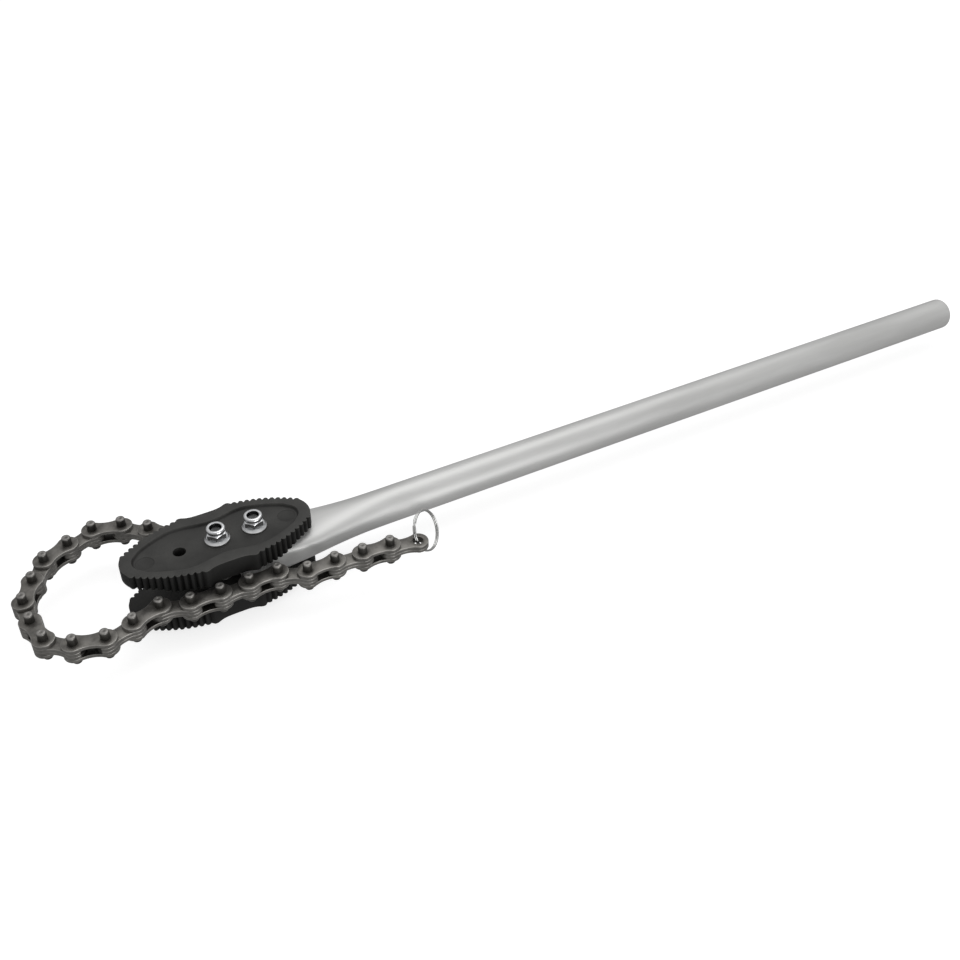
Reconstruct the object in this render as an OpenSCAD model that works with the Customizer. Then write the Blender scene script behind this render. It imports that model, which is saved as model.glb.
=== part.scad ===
// Chain pipe wrench: two double-ended toothed jaws bolted on a forged handle head,
// a leaf chain on a shackle that loops out past the jaw tips and hooks by its long
// pins into the notch at the side of the jaws, and a split ring on the chain's end.
// Origin: axis of the empty jaw hole, half way between the jaws. +X runs to the
// handle's end, +Z is the normal of the jaw plates.

/* [Handle] */
// outside diameter of the handle tube
tube_d = 33.7; // [32:0.1:35]
// wall of the handle tube
tube_wall = 3.25; // [2.6:0.05:4]
// from the front bolt to the far end of the handle
reach = 868; // [700:0.5:1000]
// from the front bolt to the seam between forged head and tube
seam = 170; // [160:1:200]
// width of the forged head between the jaws
head_w = 50; // [44:1:54]
// radius of the rounded edge of the closed handle end
end_round = 5; // [3:0.5:7]

/* [Jaws] */
// clear gap between the two jaws
jaw_gap = 25; // [24:0.1:26]
// thickness of one jaw at its rim
jaw_t = 18.2; // [17:0.2:20]
// relief of the jaws' inner faces under the tips
tip_relief = 4.7; // [3:0.1:6]
// depth of the panel inside the rim
panel_d = 3.2; // [1.5:0.1:4]
// distance between neighbouring jaw holes
hole_pitch = 33.5; // [33:0.1:34]
// diameter of the jaw holes
hole_d = 11; // [10.6:0.1:12]
// half width of the jaws at the bottom of the side notch
notch_y = 34.4; // [34:0.1:34.4]
// teeth on each quarter of the outline
teeth = 11; // [9:1:13]
// depth of the tooth valleys
tooth_d = 2.4; // [1.5:0.1:3]

/* [Bolts] */
// bolt diameter
bolt_d = 10; // [9:0.5:10]
// width across flats of nuts and bolt heads
hex_af = 16; // [15:0.5:17]
// diameter of the nut and head flanges
flange_d = 22; // [20:0.5:23]
// height of the locking flange nut
nut_h = 13.5; // [11:0.5:15]

/* [Chain] */
// distance from pin to pin
pitch = 25.4; // [25.2:0.1:25.6]
// eye distance of the shackle that holds the chain
shackle_l = 29.5; // [29.3:0.1:29.6]
// radius of a plate's round ends
eye_r = 9.5; // [9:0.1:10]
// half width of a plate at its waist
waist_w = 7; // [6:0.1:7.5]
// thickness of one plate
plate_t = 3.4; // [3:0.1:3.5]
// diameter of the pins
pin_d = 8; // [7.6:0.1:8]
// length of the long hooking pins
pin_l = 29; // [28:0.5:30]
// radial running clearance of the pins in the leaves
run = 0.05; // [0.02:0.01:0.08]

/* [Split ring] */
// mean radius of the ring
ring_r = 18.3; // [17:0.1:20]
// wire diameter of one turn of the ring
wire_d = 1.7; // [1.4:0.1:1.9]
// plan direction of the ring from the end link's eye, in degrees
ring_dir = 40; // [30:1:45]
// lean of the ring from upright, in degrees
ring_lean = 25; // [15:1:28]
// radius of the end link's eye that holds the ring
ring_eye_r = 4.8; // [4.6:0.1:5.2]

/* [Hidden] */

// plan heading of each link in degrees, from the shackle to the end link
heading = [115, 120, 135, 140, 165, 200, 205, 235, 240, 270, 280, 320,
    345, 375, 377, 343, 357, 360, 360, 335, 360, 355, 355, 350];

steel = [0.66, 0.67, 0.68];
black = [0.20, 0.20, 0.20];
chain_grey = [0.34, 0.34, 0.32];
zinc = [0.85, 0.86, 0.87];

tube_r = tube_d / 2;
z_in = jaw_gap / 2;
z_rim = z_in + jaw_t;
z_floor = z_rim - panel_d;
front_x = hole_pitch;
rear_x = 2 * hole_pitch;
seam_x = front_x + seam;
end_x = front_x + reach;
end_l = end_round + 3;
slack = 0.1;
leaf_in = 0.05;
outer_z = plate_t + slack;
stack_z = outer_z + plate_t;
pin_r = pin_d / 2;

// ---- plan positions of the chain pivots ----
function eye_gap(i) = i == 0 ? shackle_l : pitch;
function pivot(i) = i == 0 ? [front_x, 0]
    : pivot(i - 1) + eye_gap(i - 1) * [cos(heading[i - 1]), sin(heading[i - 1])];

// ---- jaw outline, one quarter at a time ----
tooth_r = 115.6;
tooth_c = [10, -78];
tooth_a0 = 82.2;
tooth_a1 = 51.8;
function tooth_pt(k, depth) = let (a = tooth_a0 + (tooth_a1 - tooth_a0) * k / teeth)
    tooth_c + (tooth_r - depth) * [cos(a), sin(a)];
function notch_pts() = [for (i = [0:10]) let (x = 1.9 * i)
    [x, notch_y + (37.6 - notch_y) * pow(x / 19.6, 4)]];
function lug_pts() = [for (a = [100:-10:70]) [21.5 + 5 * cos(a), 32.8 + 5 * sin(a)]];
function teeth_pts() = concat(
    [for (k = [0:teeth - 1]) each [tooth_pt(k, k == 0 ? 1.4 : tooth_d), tooth_pt(k + 0.3, 0.2),
        tooth_pt(k + 0.5, 0), tooth_pt(k + 0.7, 0.2)]],
    [tooth_pt(teeth, tooth_d / 2)]);
function tip_pts() = [for (a = [30:-6:0]) [62 + 22 * cos(a), 22 * sin(a)]];
function jaw_quarter() = concat(notch_pts(), lug_pts(), teeth_pts(), tip_pts());

function panel_quarter() = concat(
    [for (i = [0:8]) let (x = 30 * i / 8) [x, 22 + 2.2 * (1 - cos(6 * x))]],
    [for (a = [77:-3:59]) tooth_c + 107 * [cos(a), sin(a)]],
    [for (a = [52:-13:0]) [61 + 12.5 * cos(a), 12.5 * sin(a)]]);

function ring_of(q) = let (n = len(q)) concat(
    q,
    [for (i = [n - 2:-1:0]) [q[i][0], -q[i][1]]],
    [for (i = [1:n - 1]) [-q[i][0], -q[i][1]]],
    [for (i = [n - 2:-1:1]) [-q[i][0], q[i][1]]]);

module jaw() {
    translate([front_x, 0, 0])
        difference() {
            translate([0, 0, z_in]) linear_extrude(height = jaw_t) polygon(ring_of(jaw_quarter()));
            translate([0, 0, z_floor]) linear_extrude(height = panel_d + 1) polygon(ring_of(panel_quarter()));
            // round pockets where the panel runs out under each tip
            for (s = [-1, 1])
                translate([66 * s, 0, z_floor - 0.8]) cylinder(r = 8.5, h = panel_d + 2, $fn = 96);
            for (x = [-hole_pitch, 0, hole_pitch])
                translate([x, 0, z_in - 1]) cylinder(d = hole_d, h = jaw_t + 2, $fn = 96);
            // relieved inner face under each tip
            for (s = [0, 1]) mirror([s, 0, 0])
                translate([0, 50, 0]) rotate([90, 0, 0]) linear_extrude(height = 100)
                    polygon([[47, z_in - 1], [47, z_in], [62, z_in + tip_relief], [90, z_in + tip_relief], [90, z_in - 1]]);
        }
}
module upper_jaw() color(black) jaw();
module lower_jaw() color(black) mirror([0, 0, 1]) jaw();

// ---- handle ----
function oval(w, h, p) = [for (a = [0:7.5:352.5])
    [h / 2 * sign(cos(a)) * pow(abs(cos(a)), 2 / p), w / 2 * sign(sin(a)) * pow(abs(sin(a)), 2 / p)]];
module slab(x, w, h, p) translate([x, 0, 0]) rotate([0, 90, 0]) linear_extrude(height = 0.2) polygon(oval(w, h, p));

module handle_head() color(steel)
    difference() {
        union() {
            // flare from the flat head to the round of the tube
            hull() { slab(front_x + 60, head_w, jaw_gap, 4); slab(front_x + 76, head_w - 1, jaw_gap, 3.4); }
            hull() { slab(front_x + 76, head_w - 1, jaw_gap, 3.4); slab(front_x + 100, head_w - 7, jaw_gap + 1.8, 2.6); }
            hull() { slab(front_x + 100, head_w - 7, jaw_gap + 1.8, 2.6); slab(front_x + 132, head_w - 13.2, jaw_gap + 5, 2.1); }
            hull() { slab(front_x + 132, head_w - 13.2, jaw_gap + 5, 2.1); slab(seam_x - 0.2, tube_d, tube_d, 2); }
            // flat between the jaws, narrowing to the front
            translate([0, 0, -z_in]) linear_extrude(height = jaw_gap)
                polygon([[front_x + 12, -15], [front_x + 30, -head_w / 2 + 1], [front_x + 61, -head_w / 2 + 1],
                    [front_x + 61, head_w / 2 - 1], [front_x + 30, head_w / 2 - 1], [front_x + 12, 15]]);
            // thin tongue in the middle of the shackle
            translate([front_x, 0, -plate_t]) cylinder(r = 11, h = 2 * plate_t, $fn = 96);
            translate([front_x, -11, -plate_t]) cube([14, 22, 2 * plate_t]);
            // spigot inside the tube
            translate([seam_x - 4, 0, 0]) rotate([0, 90, 0]) cylinder(r = tube_r - tube_wall - 0.05, h = 34, $fn = 96);
        }
        for (x = [front_x, rear_x])
            translate([x, 0, -z_in - 1]) cylinder(r = bolt_d / 2 + 0.25, h = jaw_gap + 2, $fn = 96);
    }

module handle_tube() color(steel)
    translate([seam_x, 0, 0]) rotate([0, 90, 0])
        difference() {
            cylinder(r = tube_r, h = end_x - end_l - seam_x, $fn = 128);
            translate([0, 0, -1]) cylinder(r = tube_r - tube_wall, h = end_x - seam_x, $fn = 128);
        }

module handle_end() color(steel)
    translate([end_x - end_l, 0, 0]) rotate([0, 90, 0]) union() {
        rotate_extrude($fn = 128)
            intersection() {
                union() {
                    square([tube_r - end_round, end_l]);
                    square([tube_r, 3]);
                    translate([tube_r - end_round, 3]) circle(r = end_round, $fn = 96);
                }
                square([tube_r + 1, end_l + 1]);
            }
        translate([0, 0, -16]) cylinder(r = tube_r - tube_wall - 0.05, h = 17, $fn = 96);
    }

// ---- bolts and nuts ----
module bolt(x) translate([x, 0, 0]) union() {
    translate([0, 0, -z_floor - 2.2]) cylinder(d = flange_d, h = 2.2, $fn = 96);
    translate([0, 0, -z_floor - 8.5]) cylinder(r = hex_af / sqrt(3), h = 7, $fn = 6);
    translate([0, 0, -z_floor - 1]) cylinder(d = bolt_d, h = 2 * z_floor + nut_h - 3, $fn = 96);
    translate([0, 0, z_floor + nut_h - 4.001]) cylinder(r1 = bolt_d / 2, r2 = bolt_d / 2 - 1, h = 1, $fn = 96);
}
module nut(x) translate([x, 0, z_floor])
    difference() {
        union() {
            cylinder(d = flange_d, h = 1.8, $fn = 96);
            translate([0, 0, 1.7]) cylinder(r1 = flange_d / 2 - 0.4, r2 = hex_af / 2 + 0.4, h = 1.7, $fn = 96);
            rotate([0, 0, 15]) cylinder(r = hex_af / sqrt(3), h = nut_h - 4, $fn = 6);
            cylinder(r = hex_af / 2 + 0.3, h = nut_h - 1, $fn = 96);
            translate([0, 0, nut_h - 1.001]) cylinder(r1 = hex_af / 2 + 0.3, r2 = hex_af / 2 - 0.7, h = 1, $fn = 96);
        }
        translate([0, 0, -1]) cylinder(r = bolt_d / 2 + 0.03, h = nut_h + 2, $fn = 96);
        translate([0, 0, nut_h - 1]) cylinder(r1 = bolt_d / 2, r2 = bolt_d / 2 + 1.2, h = 1.2, $fn = 96);
    }
module front_bolt() color(zinc) bolt(front_x);
module rear_bolt() color(zinc) bolt(rear_x);
module front_nut() color(zinc) nut(front_x);
module rear_nut() color(zinc) nut(rear_x);

module bolt_spacers() color(steel)
    for (s = [0, 1]) mirror([0, 0, s]) translate([front_x, 0, stack_z + slack])
        difference() {
            cylinder(r = 9, h = z_in - stack_z - slack, $fn = 96);
            translate([0, 0, -1]) cylinder(r = bolt_d / 2 + 0.25, h = jaw_gap, $fn = 96);
        }

// ---- chain ----
module at_link(i) translate([pivot(i)[0], pivot(i)[1], 0]) rotate([0, 0, heading[i]]) children();

// figure-eight outline with concave sides
module outline(l) {
    side_r = (l * l / 4 + waist_w * waist_w - eye_r * eye_r) / (2 * (eye_r - waist_w));
    difference() {
        union() {
            circle(r = eye_r, $fn = 96);
            translate([l, 0]) circle(r = eye_r, $fn = 96);
            translate([0, -0.905 * eye_r]) square([l, 1.81 * eye_r]);
        }
        for (s = [-1, 1])
            translate([l / 2, s * (side_r + waist_w - 0.3)]) circle(r = side_r, $fn = 128);
    }
}
module plate(l, t, r0, r1)
    difference() {
        linear_extrude(height = t) outline(l);
        translate([0, 0, -1]) cylinder(r = r0, h = t + 2, $fn = 96);
        translate([l, 0, -1]) cylinder(r = r1, h = t + 2, $fn = 96);
    }
module chain_pin(h, c) rotate_extrude($fn = 96)
    polygon([[0, -h], [pin_r - c, -h], [pin_r, c - h], [pin_r, h - c], [pin_r - c, h], [0, h]]);

module outer_plates(i) color(chain_grey) at_link(i)
    for (s = [0, 1]) mirror([0, 0, s]) translate([0, 0, outer_z]) plate(pitch, plate_t, pin_r + 0.02, pin_r + 0.02);
module outer_pins(i) color(chain_grey) at_link(i)
    for (x = [0, pitch]) translate([x, 0, 0]) chain_pin(pin_l / 2, 0.9);
module inner_leaves(i) color(chain_grey) at_link(i)
    for (s = [0, 1]) mirror([0, 0, s]) translate([0, 0, leaf_in]) plate(pitch, plate_t - leaf_in, pin_r + run, pin_r + run);

module end_link() color(chain_grey) at_link(23)
    for (s = [0, 1]) mirror([0, 0, s]) translate([0, 0, leaf_in]) plate(pitch, plate_t - leaf_in, pin_r + run, ring_eye_r);

module shackle_plates() color(chain_grey) at_link(0)
    for (s = [0, 1]) mirror([0, 0, s]) translate([0, 0, outer_z]) plate(shackle_l, plate_t, bolt_d / 2 + run, pin_r + 0.02);
module shackle_pin() color(chain_grey) at_link(0) translate([shackle_l, 0, 0]) chain_pin(stack_z + 1.5, 0.6);

module split_ring() color(zinc)
    translate([pivot(24)[0], pivot(24)[1], 0]) rotate([0, 0, ring_dir]) translate([ring_r, 0, 0]) rotate([90 - ring_lean, 0, 0])
        rotate_extrude($fn = 128)
            union()
                for (s = [-1, 1]) translate([ring_r, 0.46 * s * wire_d]) circle(d = wire_d, $fn = 48);

handle_tube();
handle_head();
handle_end();
upper_jaw();
lower_jaw();
front_bolt();
rear_bolt();
front_nut();
rear_nut();
bolt_spacers();
shackle_plates();
shackle_pin();
inner_leaves(1);  // link_01_leaves
outer_plates(2);  // link_02_plates
outer_pins(2);  // link_02_pins
inner_leaves(3);  // link_03_leaves
outer_plates(4);  // link_04_plates
outer_pins(4);  // link_04_pins
inner_leaves(5);  // link_05_leaves
outer_plates(6);  // link_06_plates
outer_pins(6);  // link_06_pins
inner_leaves(7);  // link_07_leaves
outer_plates(8);  // link_08_plates
outer_pins(8);  // link_08_pins
inner_leaves(9);  // link_09_leaves
outer_plates(10);  // link_10_plates
outer_pins(10);  // link_10_pins
inner_leaves(11);  // link_11_leaves
outer_plates(12);  // link_12_plates
outer_pins(12);  // link_12_pins
inner_leaves(13);  // link_13_leaves
outer_plates(14);  // link_14_plates
outer_pins(14);  // link_14_pins
inner_leaves(15);  // link_15_leaves
outer_plates(16);  // link_16_plates
outer_pins(16);  // link_16_pins
inner_leaves(17);  // link_17_leaves
outer_plates(18);  // link_18_plates
outer_pins(18);  // link_18_pins
inner_leaves(19);  // link_19_leaves
outer_plates(20);  // link_20_plates
outer_pins(20);  // link_20_pins
inner_leaves(21);  // link_21_leaves
outer_plates(22);  // link_22_plates
outer_pins(22);  // link_22_pins
end_link();
split_ring();
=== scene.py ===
import math
import bpy
import bmesh
from mathutils import Matrix, Vector
from mathutils.geometry import delaunay_2d_cdt


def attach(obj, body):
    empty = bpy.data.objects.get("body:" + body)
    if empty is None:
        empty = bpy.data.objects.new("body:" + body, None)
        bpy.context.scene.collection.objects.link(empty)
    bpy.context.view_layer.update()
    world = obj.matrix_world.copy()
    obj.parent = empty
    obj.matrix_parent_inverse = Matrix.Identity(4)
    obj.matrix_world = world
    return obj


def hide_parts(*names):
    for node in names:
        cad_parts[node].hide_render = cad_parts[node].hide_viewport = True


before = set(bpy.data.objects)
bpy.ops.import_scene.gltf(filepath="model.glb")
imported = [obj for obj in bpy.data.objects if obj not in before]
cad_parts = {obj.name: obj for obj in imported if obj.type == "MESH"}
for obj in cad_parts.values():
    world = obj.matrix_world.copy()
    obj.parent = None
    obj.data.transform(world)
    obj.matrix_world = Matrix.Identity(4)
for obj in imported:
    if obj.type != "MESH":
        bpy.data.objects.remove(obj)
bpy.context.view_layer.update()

MM = 0.001

# ---- sizes in millimetres, as in the solid model ----
front_x, rear_x, hole_pitch, hole_r = 33.5, 67.0, 33.5, 5.5
tube_r, wall, seam_x, end_x, end_round, end_l = 16.85, 3.25, 203.5, 901.5, 5.0, 8.0
z_in, z_rim, z_floor, tip_relief = 12.5, 30.7, 27.5, 4.7
notch_y, teeth, tooth_d = 34.4, 11, 2.4
bolt_r, hex_af, flange_r, nut_h = 5.0, 16.0, 11.0, 13.5
pitch, shackle_l, eye_r, waist_w, plate_t = 25.4, 29.5, 9.5, 7.0, 3.4
pin_r, pin_h, run, slack, leaf_in = 4.0, 14.5, 0.05, 0.1, 0.05
outer_z = plate_t + slack
stack_z = outer_z + plate_t
ring_r, wire_d, ring_dir, ring_lean, ring_eye_r = 18.3, 1.7, 40.0, 25.0, 4.8
heading = [115, 120, 135, 140, 165, 200, 205, 235, 240, 270, 280, 320,
           345, 375, 377, 343, 357, 360, 360, 335, 360, 355, 355, 350]


def rad(a):
    return math.radians(a)


pivot = [(front_x, 0.0)]
for i, h in enumerate(heading):
    step = shackle_l if i == 0 else pitch
    pivot.append((pivot[-1][0] + step * math.cos(rad(h)), pivot[-1][1] + step * math.sin(rad(h))))


# ---- mesh helpers ----
class Shape:
    """Points in millimetres, faces, a value per point for painted highlight, painted shade and rubbed edges, and a flat
    flag per face.
    """

    def __init__(self):
        self.v, self.w, self.f, self.flat = [], [], [], []

    def pts(self, points, painted_light_and_wear=0.0):
        i = len(self.v)
        points = list(points)
        self.v += [tuple(p) for p in points]
        self.w += list(painted_light_and_wear) if isinstance(painted_light_and_wear, (list, tuple)) else [painted_light_and_wear] * len(points)
        return list(range(i, i + len(points)))

    def face(self, ids, flat=False):
        self.f.append(tuple(ids))
        self.flat.append(flat)

    def band(self, a, b, closed=True, flat=False):
        n = len(a)
        for k in range(n if closed else n - 1):
            m = (k + 1) % n
            self.face((a[k], a[m], b[m], b[k]), flat)

    def fan(self, ring, tip, flat=False):
        n = len(ring)
        for k in range(n):
            self.face((ring[k], ring[(k + 1) % n], tip), flat)

    def fill(self, loops, lines=(), z_of=None):
        """Flat or nearly flat cap inside the first loop and outside the others. lines: extra points inside, as polylines in plan."""
        ids, edges = [], []
        for loop in loops:
            o = len(ids)
            ids += loop
            edges += [(o + k, o + (k + 1) % len(loop)) for k in range(len(loop))]
        for line in lines:
            o = len(ids)
            ids += self.pts([(x, y, z_of(x)) for x, y in line])
            edges += [(o + k, o + k + 1) for k in range(len(line) - 1)]
        flat2 = [Vector((self.v[k][0], self.v[k][1])) for k in ids]
        co, _, faces, origin, _, _ = delaunay_2d_cdt(flat2, edges, [], 0, 1e-6)
        polys = [[(self.v[k][0], self.v[k][1]) for k in loop] for loop in loops]
        for f in faces:
            c = sum((co[k] for k in f), Vector((0, 0))) / len(f)
            if inside(polys[0], c) and not any(inside(p, c) for p in polys[1:]):
                self.face([ids[origin[k][0]] for k in f], True)

    def move(self, fn, start=0):
        self.v[start:] = [tuple(fn(p)) for p in self.v[start:]]


def inside(poly, c):
    x, y, hit, n = c[0], c[1], False, len(poly)
    for k in range(n):
        (x0, y0), (x1, y1) = poly[k - 1], poly[k]
        if (y0 > y) != (y1 > y) and x < x0 + (y - y0) / (y1 - y0) * (x1 - x0):
            hit = not hit
    return hit


def inset(poly, d):
    """Each corner of a counter-clockwise outline moved inwards by d."""
    out, n = [], len(poly)
    for k in range(n):
        a, b, c = Vector(poly[k - 1]), Vector(poly[k]), Vector(poly[(k + 1) % n])
        e, g = (b - a).normalized(), (c - b).normalized()
        n1, n2 = Vector((-e.y, e.x)), Vector((-g.y, g.x))
        m = (n1 + n2).normalized()
        q = b + m * (d / max(0.5, m.dot(n1)))
        out.append((q.x, q.y))
    return out


def ccw(poly):
    area = sum(poly[k - 1][0] * poly[k][1] - poly[k][0] * poly[k - 1][1] for k in range(len(poly)))
    return poly if area > 0 else poly[::-1]


def circle(r, x=0.0, y=0.0, n=40):
    return [(x + r * math.cos(2 * math.pi * k / n), y + r * math.sin(2 * math.pi * k / n)) for k in range(n)]


def at(ring, z):
    return [(x, y, z) for x, y in ring]


def prism(s, outer, holes, z0, z1, c, hc=0.35, side=None, low_face=0.25, high_face=0.25):
    """Plate with rounded edges and countersunk round holes. holes: (x, y, r). side: value of the outer wall at each
    point of the outline, above 0 painted highlight, below 0 painted shade.
    """
    wall_w = side or [0.0] * len(outer)
    # bevel rings: painted highlight and rubbed metal (1.0); beside a wall with painted shade they get painted shade
    # (-0.3)
    edge_w = [1.0 if k > -0.2 else -0.3 for k in wall_w]
    near_w = [k + 0.2 if k > -0.2 else k for k in wall_w]
    steps = [(c, z0, low_face), (0.3 * c, z0 + 0.3 * c, edge_w), (0.0, z0 + c, near_w), (0.0, (z0 + z1) / 2, wall_w),
             (0.0, z1 - c, near_w), (0.3 * c, z1 - 0.3 * c, edge_w), (c, z1, high_face)]
    rings = [s.pts(at(inset(outer, d), z), w) for d, z, w in steps]
    for a, b in zip(rings, rings[1:]):
        s.band(a, b)
    low, high = [rings[0]], [rings[-1]]
    # hole rims: painted highlight and rubbed metal
    for x, y, r in holes:
        hs = [(r + hc, z0, 0.1), (r + 0.3 * hc, z0 + 0.3 * hc, 0.5), (r, z0 + hc, 0.0),
              (r, z1 - hc, 0.0), (r + 0.3 * hc, z1 - 0.3 * hc, 0.5), (r + hc, z1, 0.1)]
        hr = [s.pts(at(circle(q, x, y), z), w) for q, z, w in hs]
        for a, b in zip(hr, hr[1:]):
            s.band(a, b)
        low.append(hr[0])
        high.append(hr[-1])
    s.fill(low)
    s.fill(high)


def lathe(s, profile, n=64, radial=None):
    """profile: (r, z, value for painted highlight, painted shade and rubbed metal) from the first to the last; r 0
    closes to a point. radial(a, r) can shape a ring.
    """
    rings = []
    for r, z, w in profile:
        if r < 1e-6:
            rings.append(s.pts([(0, 0, z)], w))
        else:
            rings.append(s.pts([(r * math.cos(2 * math.pi * k / n), r * math.sin(2 * math.pi * k / n), z) for k in range(n)], w))
    for a, b in zip(rings, rings[1:]):
        if len(a) == 1:
            s.fan(b, a[0])
        elif len(b) == 1:
            s.fan(a, b[0])
        else:
            s.band(a, b)
    return rings


def piece(name, s, body, nodes, mat, angle=38):
    me = bpy.data.meshes.new(name)
    me.from_pydata([Vector(p) * MM for p in s.v], [], s.f)
    # per-point value: above 0 painted highlight and rubbed edges, below 0 painted shade
    me.attributes.new("painted_light_and_wear", 'FLOAT', 'POINT').data.foreach_set("value", s.w)
    me.polygons.foreach_set("use_smooth", [not k for k in s.flat])
    bm = bmesh.new()
    bm.from_mesh(me)
    bmesh.ops.remove_doubles(bm, verts=bm.verts, dist=2e-6)
    bmesh.ops.recalc_face_normals(bm, faces=bm.faces)
    bm.to_mesh(me)
    bm.free()
    me.set_sharp_from_angle(angle=rad(angle))
    me.materials.append(mat)
    ob = bpy.data.objects.new(name, me)
    bpy.context.scene.collection.objects.link(ob)
    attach(ob, body)
    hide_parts(*nodes)
    return ob


# ---- materials ----
def material(name, dark, light, painted_light_and_wear_colour, metallic, rough, scale, stretch, bump, fine, spec=0.5, edge_rough=None, shade=0.35):
    """dark and light: the two ends of the blotchy colour. The fourth argument: colour where the per-point value is
    high, painted highlight and rubbed metal; a value below 0 is painted shade and darkens by shade.
    """
    m = bpy.data.materials.new(name)
    m.use_nodes = True
    nt = m.node_tree
    nt.nodes.clear()
    new, link = nt.nodes.new, nt.links.new
    out, bsdf = new("ShaderNodeOutputMaterial"), new("ShaderNodeBsdfPrincipled")
    link(bsdf.outputs["BSDF"], out.inputs["Surface"])
    bsdf.inputs["Metallic"].default_value = metallic
    bsdf.inputs["Specular IOR Level"].default_value = spec
    co, mp = new("ShaderNodeTexCoord"), new("ShaderNodeMapping")
    mp.inputs["Scale"].default_value = stretch
    link(co.outputs["Object"], mp.inputs["Vector"])

    def noise(sc, detail, vec):
        n = new("ShaderNodeTexNoise")
        n.inputs["Scale"].default_value = sc
        n.inputs["Detail"].default_value = detail
        n.inputs["Roughness"].default_value = 0.6
        link(vec, n.inputs["Vector"])
        return n

    blotch = noise(scale, 5.0, mp.outputs["Vector"])
    grain = noise(fine, 3.0, mp.outputs["Vector"])
    ramp = new("ShaderNodeValToRGB")
    ramp.color_ramp.elements[0].position = 0.32
    ramp.color_ramp.elements[0].color = (*dark, 1)
    ramp.color_ramp.elements[1].position = 0.68
    ramp.color_ramp.elements[1].color = (*light, 1)
    link(blotch.outputs["Fac"], ramp.inputs["Fac"])

    def maths(op, a, b):
        n = new("ShaderNodeMath")
        n.operation = op
        n.use_clamp = op == 'MULTIPLY'
        for k, v in enumerate((a, b)):
            if isinstance(v, (int, float)):
                n.inputs[k].default_value = v
            else:
                link(v, n.inputs[k])
        return n.outputs["Value"]

    light_and_wear_attr = new("ShaderNodeAttribute")
    light_and_wear_attr.attribute_name = "painted_light_and_wear"
    # mask for the fourth colour: painted highlight and rubbed metal, broken up by the blotch noise
    up = maths('MULTIPLY', maths('MAXIMUM', light_and_wear_attr.outputs["Fac"], 0.0), maths('ADD', maths('MULTIPLY', blotch.outputs["Fac"], 1.3), 0.15))
    # painted shade mask: how far the per-point value is below 0
    low = maths('MULTIPLY', maths('SUBTRACT', 0.0, light_and_wear_attr.outputs["Fac"]), 1.0)

    def colour_mix(fac, a, b):
        n = new("ShaderNodeMix")
        n.data_type = 'RGBA'
        link(fac, n.inputs[0])
        link(a, n.inputs[6])
        n.inputs[7].default_value = (*b, 1)
        return n.outputs[2]

    col = colour_mix(up, ramp.outputs["Color"], painted_light_and_wear_colour)
    col = colour_mix(low, col, tuple(shade * k for k in dark))
    link(col, bsdf.inputs["Base Color"])
    rr = new("ShaderNodeMapRange")
    rr.inputs["From Min"].default_value = 0.3
    rr.inputs["From Max"].default_value = 0.7
    rr.inputs["To Min"].default_value = rough[0]
    rr.inputs["To Max"].default_value = rough[1]
    link(blotch.outputs["Fac"], rr.inputs["Value"])
    link(rr.outputs["Result"], bsdf.inputs["Roughness"])
    bp = new("ShaderNodeBump")
    bp.inputs["Strength"].default_value = bump[0]
    bp.inputs["Distance"].default_value = bump[1]
    link(grain.outputs["Fac"], bp.inputs["Height"])
    link(bp.outputs["Normal"], bsdf.inputs["Normal"])
    for n in list(nt.nodes):
        if n not in (out,) and not any(o.is_linked for o in n.outputs):
            nt.nodes.remove(n)
    return m


M_handle = material("handle_satin", (0.54, 0.54, 0.53), (0.63, 0.63, 0.62), (0.72, 0.72, 0.71), 0.45, (0.40, 0.50),
                    60, (0.12, 1, 1), (0.12, 0.0003), 900)
M_jaw = material("jaw_black_oxide", (0.031, 0.0305, 0.029), (0.047, 0.0465, 0.044), (0.108, 0.107, 0.102), 0.0, (0.52, 0.66),
                 70, (1, 1, 1), (0.35, 0.0003), 1400, spec=0.25, shade=0.06)
M_chain = material("chain_oiled_steel", (0.066, 0.062, 0.056), (0.142, 0.134, 0.121), (0.40, 0.39, 0.37), 0.7, (0.34, 0.52),
                   130, (1, 1, 1), (0.3, 0.0002), 1500, shade=0.15)
M_pin = material("pin_steel", (0.040, 0.038, 0.034), (0.088, 0.084, 0.077), (0.32, 0.31, 0.295), 0.7, (0.34, 0.50),
                 160, (1, 1, 0.4), (0.25, 0.00015), 1800, shade=0.15)
M_zinc = material("bright_zinc", (0.56, 0.57, 0.58), (0.74, 0.75, 0.76), (0.88, 0.88, 0.88), 1.0, (0.22, 0.34),
                  220, (1, 1, 1), (0.08, 0.0001), 2200, shade=0.05)
M_ring = material("ring_nickel", (0.46, 0.46, 0.45), (0.60, 0.60, 0.59), (0.75, 0.75, 0.75), 1.0, (0.18, 0.30),
                  260, (1, 1, 1), (0.06, 0.00008), 2600)
M_spacer = material("spacer_steel", (0.30, 0.30, 0.29), (0.42, 0.42, 0.41), (0.6, 0.6, 0.6), 0.8, (0.35, 0.5),
                    140, (1, 1, 1), (0.15, 0.00015), 1600)

# ---- jaws ----
tooth_rad, tooth_c, tooth_a0, tooth_a1 = 115.6, (10.0, -78.0), 82.2, 51.8


def tooth_pt(k, depth):
    a = rad(tooth_a0 + (tooth_a1 - tooth_a0) * k / teeth)
    return (tooth_c[0] + (tooth_rad - depth) * math.cos(a), tooth_c[1] + (tooth_rad - depth) * math.sin(a))


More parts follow.
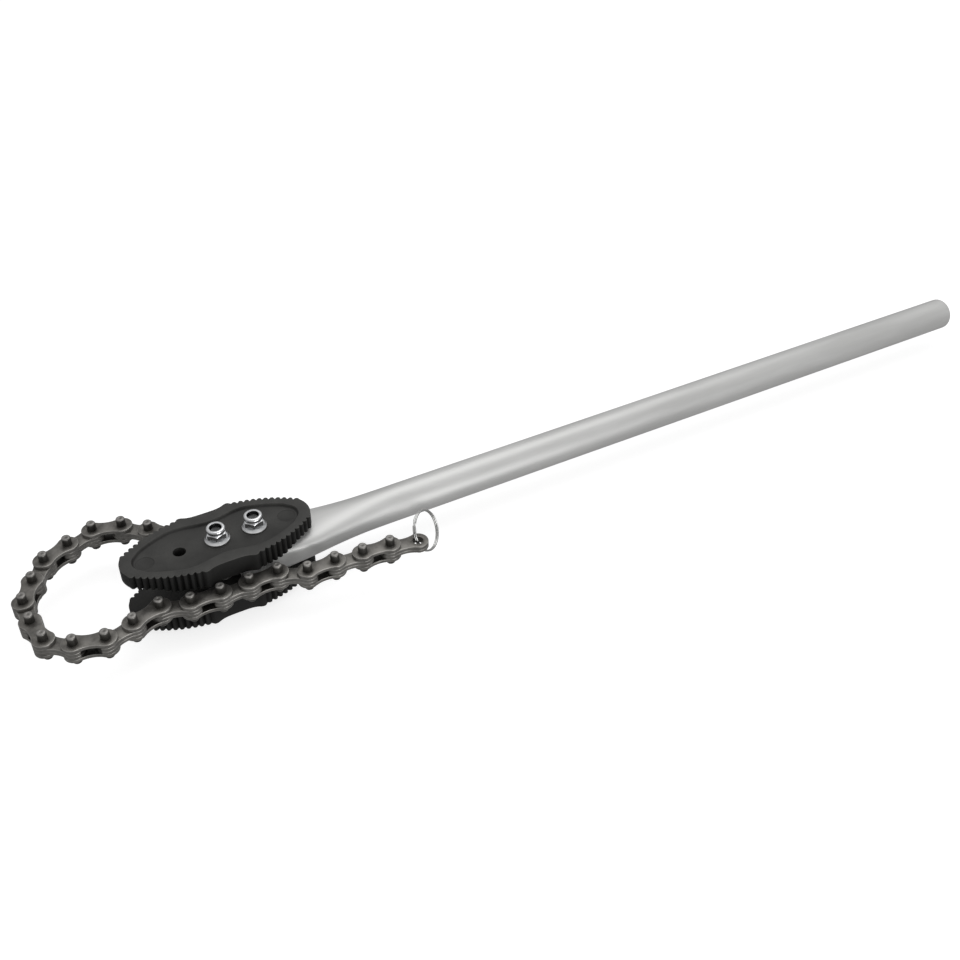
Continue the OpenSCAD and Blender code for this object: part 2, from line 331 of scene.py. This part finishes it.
def jaw_quarter():
    """Quarter of the outline with a shade value per point: below 0 on the toothed stretch."""
    q = [((19.0 * i / 14, notch_y + (37.6 - notch_y) * (19.0 * i / 14 / 19.6) ** 4), -0.85) for i in range(15)]
    q += [((21.5 + 5 * math.cos(rad(a)), 32.8 + 5 * math.sin(rad(a))), -0.85) for a in range(100, 69, -10)]
    for k in range(teeth):
        valley, flank = (1.4, 0.85) if k == 0 else (tooth_d, 1.35)
        q += [(tooth_pt(k, valley), -1.0), (tooth_pt(k + 0.14, flank), -1.0), (tooth_pt(k + 0.3, 0.2), -0.9),
              (tooth_pt(k + 0.5, 0), -0.75), (tooth_pt(k + 0.7, 0.2), -0.9), (tooth_pt(k + 0.86, 0.7 if k == teeth - 1 else 1.35), -1.0)]
    q += [(tooth_pt(teeth, tooth_d / 2), -1.0)]
    q += [((62 + 22 * math.cos(rad(a)), 22 * math.sin(rad(a))), -0.85) for a in range(30, -1, -5)]
    return q


def ring_of(q):
    n = len(q)

    def m(e, sx, sy):
        return ((e[0][0] * sx, e[0][1] * sy), e[1])
    full = [m(e, 1, 1) for e in q] + [m(q[i], 1, -1) for i in range(n - 2, -1, -1)]
    full += [m(q[i], -1, -1) for i in range(1, n)] + [m(q[i], -1, 1) for i in range(n - 2, 0, -1)]
    return full[::-1]


def panel_quarter():
    q = [((30 * i / 12, 22 + 2.2 * (1 - math.cos(rad(6 * 30 * i / 12)))), 0) for i in range(13)]
    q += [((tooth_c[0] + 107 * math.cos(rad(a)), tooth_c[1] + 107 * math.sin(rad(a))), 0) for a in range(77, 58, -2)]
    q += [((61 + 12.5 * math.cos(rad(a)), 12.5 * math.sin(rad(a))), 0) for a in range(54, -1, -6)]
    return q


def relief(x):
    return tip_relief * min(1.0, max(0.0, (abs(x) - 47.0) / 15.0))


def jaw(s):
    full = ring_of(jaw_quarter())
    outline, shade = [p for p, _ in full], [w for _, w in full]
    c, rings = 0.7, []
    # walls take the outline's painted shade values; the lower chamfer gets painted shade (-0.5) and the rim's top
    # corner a painted highlight (0.7)
    for d, z, w in ((c, 0, -0.5), (0.3 * c, 0.3 * c, 0.1), (0, c, None)):
        ring = inset(outline, d)
        rings.append(s.pts([(x, y, z_in + relief(x) + z) for x, y in ring], list(shade) if w is None else w))
    for d, z, w in ((0, z_rim - 0.8, None), (0.05, z_rim - 0.42, 0.2), (0.16, z_rim - 0.14, 0.7), (0.42, z_rim, 0.15)):
        rings.append(s.pts(at(inset(outline, d), z), [0.8 * k for k in shade] if w is None else w))
    for a, b in zip(rings, rings[1:]):
        s.band(a, b)
    # rim, panel wall with soft edges, panel floor; the rim's inner corner gets a painted highlight and the panel wall a
    # line of painted shade
    panel = [p for p, _ in ring_of(panel_quarter())]
    prof = [(-1.0, z_rim, 0.1), (-0.45, z_rim - 0.15, 0.35), (-0.1, z_rim - 0.6, 0.2), (0.35, z_floor + 1.1, -0.35),
            (0.75, z_floor + 0.4, -0.45), (1.5, z_floor, -0.15)]
    pr = [s.pts(at(inset(panel, d), z), w) for d, z, w in prof]
    for a, b in zip(pr, pr[1:]):
        s.band(a, b)
    s.fill([rings[-1], pr[0]])
    floor, under = [pr[-1]], [rings[0]]
    # bolt holes: painted highlight on the countersink, painted shade down the bore
    for x in (-hole_pitch, 0.0, hole_pitch):
        hr = [s.pts(at(circle(r, x, 0, 48), z), w) for r, z, w in
              ((6.0, z_floor, 0.1), (5.65, z_floor - 0.15, 0.4), (5.5, z_floor - 0.5, -0.4), (5.5, z_in + 0.5, -1.0), (6.0, z_in, 0.0))]
        for a, b in zip(hr, hr[1:]):
            s.band(a, b)
        floor.append(hr[0])
        under.append(hr[-1])
    # end pockets: painted highlight on the rim, painted shade on the pocket wall
    for x in (-63.2, 63.2):
        hr = [s.pts(at(circle(r, x, 0, 56), z), w) for r, z, w in
              ((8.2, z_floor, 0.1), (8.0, z_floor - 0.1, 0.25), (7.8, z_floor - 0.4, -0.2), (7.5, z_floor - 0.6, -0.1))]
        for a, b in zip(hr, hr[1:]):
            s.band(a, b)
        s.fill([hr[-1]])
        floor.append(hr[0])
    s.fill(floor)
    wide = {47.0: 25.0, 62.0: 20.0}
    lines = [[(sx * x, y * k / 6.0) for k in range(-6, 7)] for sx in (-1, 1) for x, y in wide.items()]
    s.fill(under, lines, lambda x: z_in + relief(x))
    s.move(lambda p: (p[0] + front_x, p[1], p[2]))


s = Shape()
jaw(s)
piece("jaw_upper", s, "wrench", ["upper_jaw"], M_jaw, 34)
s = Shape()
jaw(s)
s.move(lambda p: (p[0], p[1], -p[2]))
piece("jaw_lower", s, "wrench", ["lower_jaw"], M_jaw, 34)

# ---- handle ----
stations = [(12, 30, 24.4, 9.0), (30, 48, 24.9, 8.0), (46, 49.4, 25, 6.0), (60, 50, 25, 4.2), (76, 48.8, 25, 3.3), (88, 46.2, 25.7, 2.9),
            (100, 43, 26.8, 2.6), (116, 39.6, 28.4, 2.3), (132, 36.9, 30.2, 2.12), (150, 34.8, 32.4, 2.03), (163, 33.8, 33.5, 2.0), (170, 33.7, 33.7, 2.0)]


def smooth_at(x):
    """Width, height and squareness between the stations, on one smooth curve through them."""
    k = max(i for i in range(len(stations) - 1) if stations[i][0] <= x + 1e-9)
    a, b = stations[k], stations[k + 1]
    p, q = stations[max(0, k - 1)], stations[min(len(stations) - 1, k + 2)]
    t = (x - a[0]) / (b[0] - a[0])
    out = []
    for j in (1, 2, 3):
        m0 = (b[j] - p[j]) / (b[0] - p[0]) * (b[0] - a[0])
        m1 = (q[j] - a[j]) / (q[0] - a[0]) * (b[0] - a[0])
        if abs(b[j] - a[j]) < 0.05:
            m0 = m1 = 0.0
        out.append((2 * t ** 3 - 3 * t * t + 1) * a[j] + (t ** 3 - 2 * t * t + t) * m0 + (-2 * t ** 3 + 3 * t * t) * b[j] + (t ** 3 - t * t) * m1)
    return out


def section(s, x, w, h, p, painted_light_and_wear=0.0, n=96):
    ring = []
    for k in range(n):
        a = 2 * math.pi * k / n
        ca, sa = math.cos(a), math.sin(a)
        ring.append((front_x + x, w / 2 * math.copysign(abs(ca) ** (2 / p), ca), h / 2 * math.copysign(abs(sa) ** (2 / p), sa)))
    return s.pts(ring, painted_light_and_wear)


s = Shape()
rows = [section(s, 12, 27, 21.4, 7.0), section(s, 12.4, 29, 23.4, 8.0, 0.5), section(s, 13.4, 31, 24.4, 9.0)]
x = 15.0
while x < 169.0:
    rows.append(section(s, x, *smooth_at(x)))
    x += 3.0
rows.append(section(s, 169.4, 33.7, 33.7, 2.0))
rows.append(section(s, 169.99, 33.7, 33.7, 2.0))
for a, b in zip(rows, rows[1:]):
    s.band(a, b)
s.fan(rows[0], s.pts([(front_x + 12, 0, 0)])[0], True)
# spigot that goes into the tube
last = rows[-1]
for x, r in ((170.0, 13.55), (203.0, 13.55), (204.0, 12.5)):
    ring = section(s, x, 2 * r, 2 * r, 2.0)
    s.band(last, ring)
    last = ring
s.fan(last, s.pts([(front_x + 204, 0, 0)])[0], True)
# thin tongue round the front bolt
tongue = [(front_x + 11 * math.cos(rad(a)), 11 * math.sin(rad(a))) for a in range(90, 271, 6)] + [(front_x + 15, -11), (front_x + 15, 11)]
prism(s, ccw(tongue), [(front_x, 0, bolt_r + 0.25)], -plate_t, plate_t, 0.4)
piece("handle_forged_head", s, "wrench", ["handle_head"], M_handle, 34)


def along_x(p):
    return (p[2], p[0], p[1])


s = Shape()
x0, x1, n = seam_x, end_x - end_l, 40
prof = [(tube_r, x0, 0.0), (tube_r, x0 + 0.8, 0.0)]
prof += [(tube_r, x0 + (x1 - x0) * k / n, 0.0) for k in range(1, n)] + [(tube_r, x1, 0.0)]
prof += [(tube_r - wall, x1, 0.0), (tube_r - wall, x0, 0.0), (tube_r, x0, 0.0)]
lathe(s, prof, 96)
s.move(along_x)
piece("handle_round_tube", s, "wrench", ["handle_tube"], M_handle, 34)

s = Shape()
prof = [(0.0, end_x, 0.1), (tube_r - end_round - 4, end_x, 0.1)]
prof += [(tube_r - end_round + end_round * math.sin(rad(a)), end_x - end_round + end_round * math.cos(rad(a)), 0.25 * math.sin(rad(2 * a))) for a in range(0, 91, 10)]
prof += [(tube_r, x1, 0.0), (tube_r - wall - 0.05, x1, 0.0), (tube_r - wall - 0.05, x1 - 15.5, 0.0), (tube_r - wall - 1, x1 - 16, 0.0), (0.0, x1 - 16, 0.0)]
lathe(s, prof, 96)
s.move(along_x)
piece("handle_closed_end", s, "wrench", ["handle_end"], M_handle, 34)

# ---- bolts and nuts ----
NSEG = 72


def hex_r(a, af, turn):
    b = (a - turn + math.pi / 6) % (math.pi / 3) - math.pi / 6
    return af / 2 / math.cos(b)


def round_ring(s, r, z, w=0.0):
    return s.pts([(r * math.cos(2 * math.pi * k / NSEG), r * math.sin(2 * math.pi * k / NSEG), z) for k in range(NSEG)], w)


def hex_ring(s, af, z, drop, r_free, w, turn):
    """Hexagon whose corners are cut by a cone: above r_free the ring drops."""
    out = []
    for k in range(NSEG):
        a = 2 * math.pi * k / NSEG
        r = hex_r(a, af, turn)
        out.append((r * math.cos(a), r * math.sin(a), z - max(0.0, r - r_free) * drop))
    return s.pts(out, w)


def stack(s, rings):
    for a, b in zip(rings, rings[1:]):
        s.band(a, b)


def nut(x):
    s, turn = Shape(), rad(45)
    # flange rim, hex top and collar top get painted highlight; the foot of the hex, the band under the collar and the
    # bore get painted shade
    rings = [round_ring(s, bolt_r + 0.9, 0.0), round_ring(s, flange_r - 0.5, 0.0), round_ring(s, flange_r - 0.1, 0.25, 0.4), round_ring(s, flange_r, 0.7, 0.5),
             round_ring(s, flange_r - 0.1, 1.3, 0.8), round_ring(s, flange_r - 0.5, 1.8, 0.6), round_ring(s, flange_r - 1.4, 2.5), round_ring(s, 9.0, 3.3, -0.2),
             hex_ring(s, hex_af - 0.5, 3.5, 0.0, 9, -0.4, turn), hex_ring(s, hex_af, 4.3, 0.0, 9, -0.1, turn),
             hex_ring(s, hex_af, 8.7, 0.55, 8.05, 0.2, turn), hex_ring(s, hex_af - 0.5, 9.15, 0.5, 7.8, 0.4, turn),
             round_ring(s, 7.6, 9.25, -0.2), round_ring(s, 7.65, 9.6, -0.2), round_ring(s, 8.0, 9.9, 0.1), round_ring(s, 8.2, 10.4, 0.0), round_ring(s, 8.2, 11.4, 0.0), round_ring(s, 8.1, 12.2, 0.1), round_ring(s, 7.75, 12.9, 0.3), round_ring(s, 7.2, 13.35, 0.4),
             round_ring(s, 6.6, nut_h, 0.3), round_ring(s, 5.7, nut_h - 0.05, 0.2), round_ring(s, 5.2, 13.1, -0.5), round_ring(s, bolt_r + 0.03, 12.7, -0.9),
             round_ring(s, bolt_r + 0.03, 0.9, -1.0), round_ring(s, bolt_r + 0.9, 0.0)]
    stack(s, rings)
    s.move(lambda p: (p[0] + x, p[1], p[2] + z_floor))
    return s


def bolt(x):
    s, turn = Shape(), rad(20)
    z0 = -z_floor
    lo, hi = z0 - 8.5, z_floor + nut_h - 3.0
    # head rims get painted highlight; thread valleys and the threaded end get painted shade
    rings = [round_ring(s, 4.6, lo + 0.5, 0.0), round_ring(s, 5.4, lo + 0.1, 0.3), round_ring(s, 7.4, lo, 0.3),
             hex_ring(s, hex_af - 0.5, lo + 0.15, -0.5, 7.8, 0.6, turn), hex_ring(s, hex_af, lo + 0.6, -0.55, 8.05, 0.4, turn), hex_ring(s, hex_af, z0 - 3.6, 0.0, 9, 0.0, turn),
             round_ring(s, 9.4, z0 - 3.2, -0.2), round_ring(s, flange_r - 0.6, z0 - 2.2, 0.4), round_ring(s, flange_r, z0 - 1.6, 0.8), round_ring(s, flange_r, z0 - 0.5, 0.4),
             round_ring(s, flange_r - 0.4, z0, 0.2), round_ring(s, bolt_r, z0, 0.0)]
    z = z_floor - 3.0
    rings.append(round_ring(s, bolt_r, z))
    while z < hi - 2.4:
        rings += [round_ring(s, bolt_r - 0.55, z + 0.55, -0.5), round_ring(s, bolt_r, z + 1.2, 0.3), round_ring(s, bolt_r, z + 1.5, 0.3)]
        z += 1.5
    rings += [round_ring(s, bolt_r, hi - 0.9, -0.9), round_ring(s, bolt_r - 0.9, hi, -0.85)]
    stack(s, rings)
    s.fan(rings[0], s.pts([(0, 0, lo + 0.7)])[0])
    s.fan(rings[-1], s.pts([(0, 0, hi)], -0.9)[0], True)
    s.move(lambda p: (p[0] + x, p[1], p[2]))
    return s


piece("nut_front", nut(front_x), "wrench", ["front_nut"], M_zinc, 28)
piece("nut_rear", nut(rear_x), "wrench", ["rear_nut"], M_zinc, 28)
piece("bolt_front", bolt(front_x), "wrench", ["front_bolt"], M_zinc, 28)
piece("bolt_rear", bolt(rear_x), "wrench", ["rear_bolt"], M_zinc, 28)

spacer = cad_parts["bolt_spacers"]
spacer.data.materials.clear()
spacer.data.materials.append(M_spacer)


# ---- chain ----
def outline8(l):
    r = eye_r
    side = (l * l / 4 + waist_w * waist_w - r * r) / (2 * (r - waist_w))
    cy, top, m = side + waist_w - 0.3, [], 24
    for i in range(m + 1):
        x = l * i / m
        c = max(math.sqrt(max(0, r * r - x * x)), math.sqrt(max(0, r * r - (l - x) ** 2)))
        y = max(c, 0.905 * r)
        d = side * side - (x - l / 2) ** 2
        if d > 0:
            y = min(y, cy - math.sqrt(d))
        top.append((x, y))
    right = [(l + r * math.cos(rad(a)), r * math.sin(rad(a))) for a in range(-83, 84, 8)]
    left = [(r * math.cos(rad(a)), r * math.sin(rad(a))) for a in range(97, 264, 8)]
    return right + top[::-1] + left + [(x, -y) for x, y in top]


def to_link(s, i):
    c, q, (px, py) = math.cos(rad(heading[i])), math.sin(rad(heading[i])), pivot[i]
    s.move(lambda p: (px + c * p[0] - q * p[1], py + q * p[0] + c * p[1], p[2]))


def plates(i, l, z0, z1, r0, r1):
    s, o = Shape(), outline8(l)
    # the round ends of the inner leaves, which look into the windows between the outer plates, get painted shade (-1);
    # all other walls get painted light (0.35)
    tips = z0 < 1.0 and i != 23
    side = [-1.0 if tips and not -0.86 * eye_r < x < l + 0.86 * eye_r else 0.35 for x, y in o]
    # faces of the outer plates that face the inner leaves get painted shade (-0.8)
    inner = 0.25 if z0 < 1.0 else -0.8
    prism(s, o, [(0, 0, r0), (l, 0, r1)], z0, z1, 0.6, side=side, low_face=inner)
    prism(s, o, [(0, 0, r0), (l, 0, r1)], -z1, -z0, 0.6, side=side, high_face=inner)
    to_link(s, i)
    return s


def pin(s, x, h):
    start = len(s.v)
    # domed tops: painted highlight and rubbed metal; the shaft within the plates: painted shade
    end = [(0.0, h - 0.35, 0.3), (0.9, h - 0.25, 0.5), (1.5, h - 0.02, 0.8), (2.5, h, 0.9), (3.1, h - 0.12, 1.0), (3.6, h - 0.45, 0.9), (3.9, h - 0.95, 0.5), (pin_r, h - 1.6, 0.1)]
    lathe(s, end + [(pin_r, stack_z + 0.5, -0.3), (pin_r, 0.0, -0.5), (pin_r, -stack_z - 0.5, -0.3)] + [(r, -z, w) for r, z, w in end[::-1]], 40)
    s.move(lambda p: (p[0] + x, p[1], p[2]), start)


for i in range(24):
    name = "link_%02d" % i
    if i == 0:
        piece("shackle_pair", plates(0, shackle_l, outer_z, stack_z, bolt_r + run, pin_r + 0.02), "shackle", ["shackle_plates"], M_chain)
        s = Shape()
        pin(s, shackle_l, stack_z + 1.5)
        to_link(s, 0)
        piece("shackle_short_pin", s, "shackle", ["shackle_pin"], M_pin)
    elif i == 23:
        piece("end_link_leaves", plates(23, pitch, leaf_in, plate_t, pin_r + run, ring_eye_r), "end_link", ["end_link"], M_chain)
    elif i % 2:
        piece(name + "_inner", plates(i, pitch, leaf_in, plate_t, pin_r + run, pin_r + run), name, [name + "_leaves"], M_chain)
    else:
        piece(name + "_outer", plates(i, pitch, outer_z, stack_z, pin_r + 0.02, pin_r + 0.02), name, [name + "_plates"], M_chain)
        s = Shape()
        pin(s, 0.0, pin_h)
        pin(s, pitch, pin_h)
        to_link(s, i)
        piece(name + "_long_pins", s, name, [name + "_pins"], M_pin)

# ---- split ring: two turns of wire with a cross-over and two cut ends ----
s = Shape()
n, m, rows = 220, 16, []
t0, t1 = 0.03, 4 * math.pi - 0.03


def wire_ring(t, r):
    u = min(1.0, max(0.0, (t - (2 * math.pi - 0.22)) / 0.44))
    off = 0.46 * wire_d * (2 * u * u * (3 - 2 * u) - 1)
    ring = []
    for k in range(m):
        a = 2 * math.pi * k / m
        q = ring_r + r * math.cos(a)
        ring.append((q * math.cos(t + 2.2), q * math.sin(t + 2.2), off + r * math.sin(a)))
    return ring, (ring_r * math.cos(t + 2.2), ring_r * math.sin(t + 2.2), off)


rw = wire_d / 2
for k in range(n + 1):
    t = t0 + (t1 - t0) * k / n
    if k in (0, n):
        continue
    rows.append(s.pts(wire_ring(t, rw)[0]))
rows = [s.pts(wire_ring(t0, rw * 0.72)[0], 0.3)] + [s.pts(wire_ring(t0 + 0.012, rw * 0.95)[0], 0.2)] + rows
rows += [s.pts(wire_ring(t1 - 0.012, rw * 0.95)[0], 0.2), s.pts(wire_ring(t1, rw * 0.72)[0], 0.3)]
stack(s, rows)
s.fan(rows[0], s.pts([wire_ring(t0, rw)[1]])[0], True)
s.fan(rows[-1], s.pts([wire_ring(t1, rw)[1]])[0], True)
place = Matrix.Translation((pivot[24][0], pivot[24][1], 0)) @ Matrix.Rotation(rad(ring_dir), 4, 'Z') @ Matrix.Translation((ring_r, 0, 0)) @ Matrix.Rotation(rad(90 - ring_lean), 4, 'X')
s.move(lambda p: place @ Vector(p))
piece("split_ring_wire", s, "split_ring", ["split_ring"], M_ring, 40)

# ---- floor, light and camera ----
fm = bpy.data.meshes.new("floor")
fm.from_pydata([(-30, -30, -0.03605), (30, -30, -0.03605), (30, 30, -0.03605), (-30, 30, -0.03605)], [], [(0, 1, 2, 3)])
floor = bpy.data.objects.new("floor", fm)
bpy.context.scene.collection.objects.link(floor)
fmat = bpy.data.materials.new("pale_floor")
fmat.use_nodes = True
fb = fmat.node_tree.nodes["Principled BSDF"]
fb.inputs["Base Color"].default_value = (0.45, 0.45, 0.45, 1)
fb.inputs["Roughness"].default_value = 0.9
fb.inputs["Specular IOR Level"].default_value = 0.0
fb.inputs["Emission Color"].default_value = (1, 1, 1, 1)
fb.inputs["Emission Strength"].default_value = 0.76
fm.materials.append(fmat)
floor.visible_diffuse = False
floor.visible_glossy = False

scene = bpy.context.scene
scene.view_settings.view_transform = 'Standard'
scene.view_settings.look = 'None'
world = bpy.data.worlds.new("studio")
scene.world = world
world.use_nodes = True
wn, wl = world.node_tree.nodes, world.node_tree.links
wn.clear()
wout, wbg, wco, wsep, wramp = wn.new("ShaderNodeOutputWorld"), wn.new("ShaderNodeBackground"), wn.new("ShaderNodeTexCoord"), wn.new("ShaderNodeSeparateXYZ"), wn.new("ShaderNodeValToRGB")
whalf = wn.new("ShaderNodeMath")
whalf.operation = 'MULTIPLY_ADD'
whalf.inputs[1].default_value = 0.5
whalf.inputs[2].default_value = 0.5
wl.new(wco.outputs["Generated"], wsep.inputs["Vector"])
wl.new(wsep.outputs["Z"], whalf.inputs[0])
wl.new(whalf.outputs["Value"], wramp.inputs["Fac"])
wramp.color_ramp.elements[0].position = 0.30
wramp.color_ramp.elements[0].color = (0.42, 0.42, 0.42, 1)
wramp.color_ramp.elements[1].position = 0.95
wramp.color_ramp.elements[1].color = (0.86, 0.86, 0.86, 1)
wmid = wramp.color_ramp.elements.new(0.52)
wmid.color = (0.44, 0.44, 0.445, 1)
wl.new(wramp.outputs["Color"], wbg.inputs["Color"])
wbg.inputs["Strength"].default_value = 0.8
wl.new(wbg.outputs["Background"], wout.inputs["Surface"])


def area(name, loc, aim, size, watts):
    d = bpy.data.lights.new(name, 'AREA')
    d.shape = 'DISK'
    d.size = size
    d.energy = watts
    o = bpy.data.objects.new(name, d)
    o.location = loc
    o.rotation_euler = (Vector(aim) - Vector(loc)).to_track_quat('-Z', 'Y').to_euler()
    scene.collection.objects.link(o)


area("key", (0.7, 0.5, 1.7), (0.4, 0.0, 0.0), 1.6, 10.5)
area("low_front", (0.5, -1.8, 0.2), (0.45, 0.0, 0.0), 1.4, 16)

az, el, roll = rad(-29.8385), rad(38.9357), rad(0.5264)
back = Vector((math.sin(az) * math.cos(el), -math.cos(az) * math.cos(el), math.sin(el)))
right = (-back).cross(Vector((0, 0, 1))).normalized()
up = right.cross(-back)
r2 = math.cos(roll) * right + math.sin(roll) * up
u2 = -math.sin(roll) * right + math.cos(roll) * up
cd = bpy.data.cameras.new("photo_camera")
cd.sensor_fit = 'HORIZONTAL'
cd.sensor_width = 36.0
cd.lens = 44.0617
cd.clip_start, cd.clip_end = 0.01, 50.0
cam = bpy.data.objects.new("photo_camera", cd)
scene.collection.objects.link(cam)
cm = Matrix((r2, u2, back)).transposed().to_4x4()
cm.translation = Vector((-144.093, -759.057, 698.061)) * MM
cam.matrix_world = cm
scene.camera = cam
